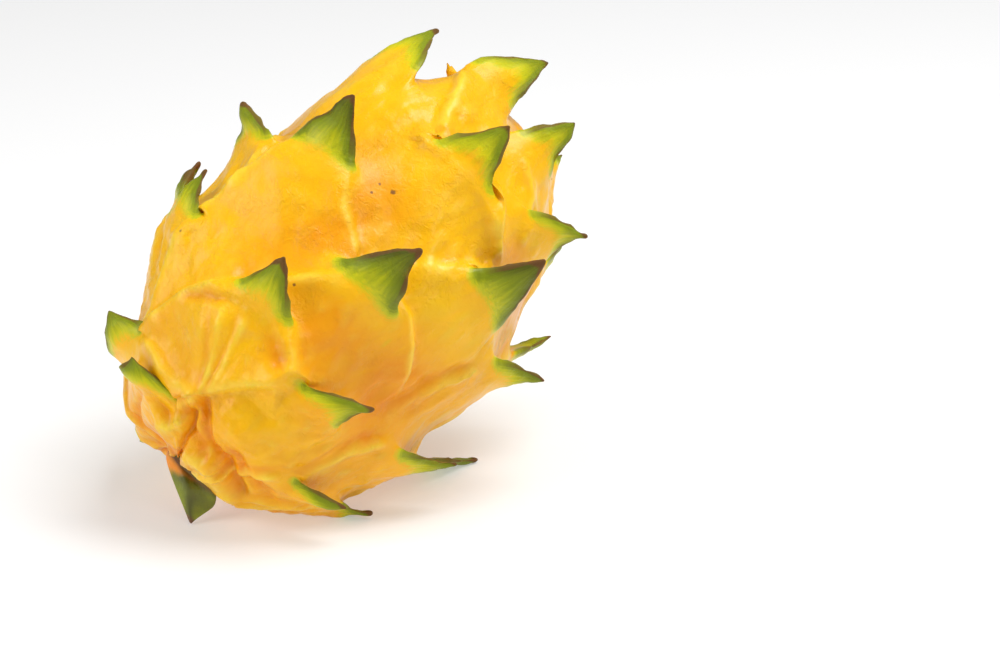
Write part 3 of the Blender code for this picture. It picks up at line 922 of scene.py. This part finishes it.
class FRUIT_OT_add_fruit(bpy.types.Operator):
    """Add the fruit's body with its scales"""

    bl_idname = "dragon_fruit.add_fruit"
    bl_label = "Fruit"

    def execute(self, context):
        self.form = FruitForm(context.scene.dragon_fruit_sizes)
        deselect_all()
        bpy.ops.mesh.primitive_uv_sphere_add(segments=COLUMNS, ring_count=ROWS, radius=1)
        piece = start_piece("fruit_skin")
        add_layers(piece)
        places = self.shape_cage(piece)
        for cell, scale in zip(self.form.cells, SCALES):
            self.raise_scale(piece, places, cell, scale)
        round_off(piece)
        self.refine_body(piece)
        self.carve(piece)
        material = skin_finish(context.scene.dragon_fruit_colours, self.scars)
        finish_piece(piece, "fruit", material)
        return {"FINISHED"}

    def shape_cage(self, piece):
        """Draws the sphere out to the fruit's form. Returns its places by ring and column."""
        form = self.form
        places = {}
        for vertex in edit_mesh(piece).verts:
            ring = round((1 - math.acos(max(-1, min(1, vertex.co.z))) / math.pi) * ROWS)
            column = round(math.atan2(vertex.co.y, vertex.co.x) / (2 * math.pi / COLUMNS)) % COLUMNS
            if 0 < ring < ROWS:
                along, around = form.nudged(form.ring_along(ring), 2 * math.pi * column / COLUMNS)
                vertex.co = form.skin_point(along, around)
            else:
                vertex.co = form.axis * form.length * (-1 if ring == 0 else 1)
            for pole, share in enumerate(DIMPLE_SHARES):
                if ring == pole:
                    vertex.co += form.axis * STEM_DIMPLE * share
                if ring == ROWS - pole:
                    vertex.co -= form.axis * FLOWER_DIMPLE * share
            places[ring, column] = vertex.co.copy()
        bmesh.update_edit_mesh(piece.data)
        return places

    def raise_scale(self, piece, places, cell, scale):
        """Draws two faces of the cage out into a scale that keeps the skin's slope."""
        form = self.form
        row, column, _ = cell
        columns = [(column + step) % COLUMNS for step in (-1, 0, 1)]
        corners = [places[ring, column] for ring in (row, row + 1) for column in columns]
        root = sum(corners, Vector()) / len(corners)
        spoke = (root - form.axis * root.dot(form.axis)).normalized()
        lift = form.skin_slope(scale[0]) + ROOT_RISE
        start = form.axis * math.cos(lift) + spoke * math.sin(lift)
        half_width = (corners[2] - corners[0]).length / 2
        half_width *= scale[5] * BROADER.get(scale[:2], 1)
        twist, tone, dry, _ = CHARACTER.get(scale[:2], PLAIN)
        tip = form.scale_tip(scale)
        draw_blade(piece, corners, start, tip, half_width, math.radians(twist), tone, dry)

    def refine_body(self, piece):
        """Splits the faces of the body and the roots of its scales finer, and evens them out."""
        bpy.ops.object.mode_set(mode="EDIT")
        bpy.ops.mesh.select_all(action="DESELECT")
        mesh = edit_mesh(piece)
        leaf = mesh.verts.layers.float["leaf"]
        for face in mesh.faces:
            face.select_set(max(vertex[leaf] for vertex in face.verts) < FINE_LEAF)
        mesh.select_flush_mode()
        bmesh.update_edit_mesh(piece.data)
        bpy.ops.mesh.subdivide(number_cuts=FINE_CUTS)
        bpy.ops.object.mode_set(mode="OBJECT")
        points = points_of(piece.data)
        loose = 1 - smooth_step(read_layer(piece.data, "leaf") / FINE_LEAF - 0.2)
        evened = np.stack([spread_evenly(piece.data, points[:, axis], 4) for axis in range(3)], 1)
        set_points(piece.data, points + (evened - points) * loose[:, None])

    def carve(self, piece):
        """Adds ridges, folds and wrinkles to the rounded body, lays it on the table and writes the
        values that the skin's finish reads."""
        form = self.form
        sizes = form.sizes
        mesh = piece.data
        points = points_of(mesh)
        leaf = spread_evenly(mesh, read_layer(mesh, "leaf"), 3)
        side = read_layer(mesh, "side")
        along = points @ np.array(form.axis) / form.length
        up = points @ np.array(form.top)
        front = points @ np.array(form.front)
        around = np.arctan2(front, up)
        body = 1 - smooth_step(leaf / 0.16)
        fleshy = 1 - smooth_step(leaf / 0.36)
        near_ends = smooth_step(form.outline_radius(along) / (form.width * 0.45))
        wobble = random_lumps(points, *RIDGE_NOISE)
        ridge, groove, hollow_shade, skirt = form.ridges(along, around, wobble)
        fold, crest, crease = form.folds(along, around, wobble)
        ridge *= near_ends
        groove *= near_ends
        depth = (form.outline_radius(along) - np.hypot(up, front)) / sizes.hollow_depth
        stretched = np.stack([along * form.length * 0.35, up, front], 1)
        wrinkle = random_lumps(stretched, *WRINKLE_NOISE)
        wrinkle *= smooth_step(random_lumps(points, *WRINKLE_PATCHES) + 0.35)
        rise = sizes.ridge_height * (ridge - 0.5 * groove) + fold
        rise += sizes.wrinkle_height * wrinkle + LUMP_HEIGHT * random_lumps(points, *LUMP_NOISE)
        rise *= fleshy
        rise += BLADE_WAVE * random_lumps(points, *BLADE_NOISE) * smooth_step(leaf / 0.5)
        points = points + points_of(mesh, "normal") * rise[:, None] + np.array(MIDDLE)
        points[:, 2] = np.maximum(points[:, 2], 0.0)
        set_points(mesh, points)
        smooth = form.on_outline(along, around)
        shade = np.zeros(len(along))
        self.scars = []
        for *place, size in SCARS:
            nearest = form.distances(smooth, place).argmin()
            self.scars.append((Vector(points[nearest]), size * 0.001))
        # Painted shade: a darker orange round the listed places.
        for *place, reach in PAINTED_SHADES:
            shade = np.maximum(shade, form.spread_round(smooth, place, reach))
        write_layer(mesh, "leaf", leaf)
        write_layer(mesh, "side", side)
        write_layer(mesh, "tone", spread_evenly(mesh, read_layer(mesh, "tone"), 2))
        blade = smooth_step(leaf / 0.12) * (0.3 + 0.7 * side**2)
        write_layer(mesh, "skirt", np.maximum(skirt * body, blade))
        # Painted highlight: the ridge layer makes the skin paler along ridges and crests.
        write_layer(mesh, "ridge", np.maximum(ridge, crest) * body)
        # Painted shade: a darker orange in grooves, creases, sunken skin, under each scale and at the
        # listed places.
        hollow_shade = 0.7 * groove + 0.5 * hollow_shade + crease + 0.8 * smooth_step(depth - 0.1) + shade
        write_layer(mesh, "hollow_shade", np.clip(hollow_shade, 0, 1) * body)
        write_layer(mesh, "veins", 0.5 + 0.5 * random_lumps(stretched, *VEIN_NOISE))


def round_stick(form, name, rings, wrinkle, seed, squash=1.0, turn=0.0):
    """A closed stick along the fruit's axis, drawn from a cylinder by extruding its top ring by ring.
    Each ring is a place along it and a radius."""
    deselect_all()
    bpy.ops.mesh.primitive_cylinder_add(vertices=STICK_SIDES, radius=rings[0][1], depth=0.001)
    piece = start_piece(name)
    add_layers(piece)
    draw = random.Random(seed)
    waves = [draw.uniform(-1, 1) for _ in range(STICK_SIDES)]

    def shape(vertices, place, radius):
        for vertex in vertices:
            angle = math.atan2(vertex.co.y, vertex.co.x)
            number = round(angle / (2 * math.pi / STICK_SIDES)) % STICK_SIDES
            reach = radius * (1 + wrinkle * (waves[number] + 0.5 * draw.uniform(-1, 1)))
            vertex.co = (math.cos(angle) * reach, math.sin(angle) * reach, place)

    mesh = edit_mesh(piece)
    lower = [vertex for vertex in mesh.verts if vertex.co.z < 0]
    upper = [vertex for vertex in mesh.verts if vertex.co.z > 0]
    cap = max(mesh.faces, key=lambda face: face.calc_center_median().z)
    cap.select_set(True)
    shape(lower, *rings[0])
    shape(upper, *rings[1])
    bmesh.update_edit_mesh(piece.data)
    for place, radius in rings[2:]:
        bpy.ops.mesh.extrude_region()
        mesh = edit_mesh(piece)
        shape([vertex for vertex in mesh.verts if vertex.select], place, radius)
        bmesh.update_edit_mesh(piece.data)
    mesh = edit_mesh(piece)
    for vertex in mesh.verts:
        vertex.co.y *= squash
    bmesh.ops.transform(mesh, matrix=form.to_fruit @ Matrix.Rotation(turn, 4, "Z"), verts=mesh.verts)
    bmesh.update_edit_mesh(piece.data)
    bpy.ops.mesh.select_all(action="SELECT")
    bpy.ops.mesh.normals_make_consistent(inside=False)
    return piece


class FRUIT_OT_add_stem(bpy.types.Operator):
    """Add the stub of the cut stem with its last leaf"""

    bl_idname = "dragon_fruit.add_stem"
    bl_label = "Cut stem"

    def execute(self, context):
        form = FruitForm(context.scene.dragon_fruit_sizes)
        wide = form.sizes.stem_half_width
        outer = STEM_OUTER + STEM_LIP
        rings = (
            (STEM_INNER, wide),
            (outer + BRACT_THICKNESS, wide),
            (outer, wide),
            (STEM_OUTER, wide * 0.92),
            (STEM_OUTER + 0.0002, wide * 0.80),
            (STEM_OUTER + 0.0020, wide * 0.72),
            (STEM_OUTER + 0.0016, wide * 0.40),
            (STEM_OUTER + 0.0010, wide * 0.10),
        )
        piece = round_stick(form, "stem_stub", rings, 0.03, 4, STEM_SQUASH, STEM_TURN)
        mesh = edit_mesh(piece)
        shift = form.on_fruit(0, STEM_AROUND, STEM_DROP)
        low = form.on_fruit(0, BRACT_BASE, 1.0)
        side = form.on_fruit(0, BRACT_BASE + math.pi / 2, 1.0)
        for vertex in mesh.verts:
            vertex.co += shift
        corners = []
        for place in (outer, outer + BRACT_THICKNESS):
            ring = [v.co.copy() for v in mesh.verts if abs(v.co.dot(form.axis) - place) < 0.0002]
            ring.sort(key=lambda corner: -corner.dot(low))
            corners += sorted(ring[:BRACT_COLUMNS], key=lambda corner: corner.dot(side))
        bmesh.update_edit_mesh(piece.data)
        start = form.on_fruit(0, BRACT_AROUND, math.cos(BRACT_RISE)) - form.axis * math.sin(BRACT_RISE)
        tip = shift + form.on_fruit((STEM_OUTER - BRACT_OUTWARD) / form.length, BRACT_AROUND, BRACT_REACH)
        draw_blade(piece, corners, start, tip, BRACT_HALF_WIDTH, bulge=BRACT_BULGE)
        round_off(piece)
        points = points_of(piece.data)
        broad = np.array(form.on_fruit(0, STEM_TURN, 1.0))
        narrow = np.array(form.on_fruit(0, STEM_TURN + math.pi / 2, STEM_SQUASH))
        away = points - np.array(shift)
        away = np.hypot(away @ broad, away @ narrow / STEM_SQUASH**2) / wide
        along = points @ np.array(form.axis)
        leaf = read_layer(piece.data, "leaf")
        core = smooth_step((0.84 - away) / 0.08) * smooth_step((outer + 0.003 - along) / 0.001)
        write_layer(piece.data, "core", core * (leaf < 0.01))
        set_points(piece.data, points + np.array(MIDDLE))
        finish_piece(piece, "cut_stem", stem_finish(context.scene.dragon_fruit_colours))
        return {"FINISHED"}


class FRUIT_OT_add_flower(bpy.types.Operator):
    """Add the withered flower base"""

    bl_idname = "dragon_fruit.add_flower"
    bl_label = "Withered flower"

    def execute(self, context):
        form = FruitForm(context.scene.dragon_fruit_sizes)
        wide = form.sizes.flower_radius
        rings = [(FLOWER_INNER + out, wide * share) for out, share in FLOWER_RINGS]
        piece = round_stick(form, "withered_flower", rings, 0.12, 9)
        round_off(piece)
        set_points(piece.data, points_of(piece.data) + np.array(MIDDLE))
        finish_piece(piece, "dried_flower", husk_finish(context.scene.dragon_fruit_colours))
        return {"FINISHED"}


class FRUIT_OT_add_studio(bpy.types.Operator):
    """Add the floor, the soft lights and the camera"""

    bl_idname = "dragon_fruit.add_studio"
    bl_label = "Studio"

    def execute(self, context):
        studio = context.scene.dragon_fruit_studio
        deselect_all()
        bpy.ops.mesh.primitive_plane_add(size=8)
        floor = bpy.context.object
        floor.name = "floor"
        floor.data.materials.append(floor_finish(context.scene.dragon_fruit_colours))
        world = bpy.data.worlds.new("white_room")
        world.use_nodes = True
        background = world.node_tree.nodes["Background"]
        background.inputs["Color"].default_value = (1, 1, 1, 1)
        background.inputs["Strength"].default_value = studio.sky
        context.scene.world = world
        self.add_light("key", studio.key_power, (0.26, -0.24, 0.88), 0.6)
        self.add_light("fill", studio.fill_power, (-0.80, 0.25, 0.50), 0.6)
        self.add_light("front", studio.front_power, (-0.08, -0.85, 0.48), 0.2)
        self.add_camera(context, studio)
        context.scene.view_settings.view_transform = "Standard"
        return {"FINISHED"}

    def add_light(self, name, power, place, size):
        """A square soft light that looks at the fruit."""
        bpy.ops.object.light_add(type="AREA", location=place)
        light = bpy.context.object
        light.name = name
        light.data.size = size
        light.data.energy = power
        light.rotation_euler = (MIDDLE - Vector(place)).to_track_quat("-Z", "Y").to_euler()

    def add_camera(self, context, studio):
        turn = studio.azimuth
        rise = studio.elevation
        back = Vector((math.sin(turn) * math.cos(rise), -math.cos(turn) * math.cos(rise), math.sin(rise)))
        right = Vector((math.cos(turn), math.sin(turn), 0))
        up = back.cross(right)
        place = MIDDLE + back * studio.distance + right * studio.slide_right + up * studio.slide_up
        bpy.ops.object.camera_add(location=place)
        camera = bpy.context.object
        camera.name = "camera"
        camera.data.lens = studio.lens
        camera.rotation_euler = Matrix((right, up, back)).transposed().to_euler()
        context.scene.camera = camera


class FRUIT_PT_panel(bpy.types.Panel):
    bl_idname = "FRUIT_PT_panel"
    bl_label = "Dragon fruit"
    bl_space_type = "VIEW_3D"
    bl_region_type = "UI"
    bl_category = "Fruit"

    def draw(self, context):
        for operator in OPERATORS:
            self.layout.operator(operator.bl_idname)
        for name in GROUPS:
            group = getattr(context.scene, name)
            box = self.layout.box()
            for key in group.bl_rna.properties.keys():
                if key not in ("rna_type", "name"):
                    box.prop(group, key)


OPERATORS = (FRUIT_OT_add_fruit, FRUIT_OT_add_stem, FRUIT_OT_add_flower, FRUIT_OT_add_studio)
GROUPS = {
    "dragon_fruit_sizes": DragonFruitSizes,
    "dragon_fruit_colours": DragonFruitColours,
    "dragon_fruit_studio": DragonFruitStudio,
}


def register():
    for item in (*GROUPS.values(), *OPERATORS, FRUIT_PT_panel):
        bpy.utils.register_class(item)
    for name, group in GROUPS.items():
        setattr(bpy.types.Scene, name, PointerProperty(type=group))


def unregister():
    for name in GROUPS:
        delattr(bpy.types.Scene, name)
    for item in reversed((*GROUPS.values(), *OPERATORS, FRUIT_PT_panel)):
        bpy.utils.unregister_class(item)


def main():
    register()
    bpy.ops.dragon_fruit.add_fruit()
    bpy.ops.dragon_fruit.add_stem()
    bpy.ops.dragon_fruit.add_flower()
    bpy.ops.dragon_fruit.add_studio()


if __name__ == "__main__":
    main()
